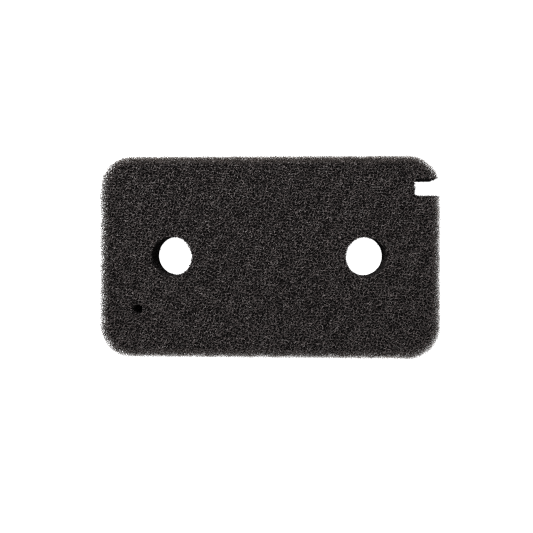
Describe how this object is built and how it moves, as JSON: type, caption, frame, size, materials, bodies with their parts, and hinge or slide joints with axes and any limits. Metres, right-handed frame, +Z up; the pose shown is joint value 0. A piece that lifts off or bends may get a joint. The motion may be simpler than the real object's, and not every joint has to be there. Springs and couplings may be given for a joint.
{
  "type": "foam air filter pad",
  "caption": "Flat die-cut open-cell foam filter pad with rounded corners, two large post holes, a small peg hole and a locating notch in one edge.",
  "frame": {"origin": "middle of the underside, on the surface that the pad lies on", "axes": "+X along the pad's length towards the notched edge, +Y across it towards the edge next to the notch, +Z up through its thickness"},
  "size_m": [0.206, 0.122, 0.015],
  "materials": {
    "open_cell_foam": "matt charcoal open-cell polyurethane foam"
  },
  "bodies": {
    "root": {"foam_pad": "open_cell_foam"}
  },
  "joints": []
}
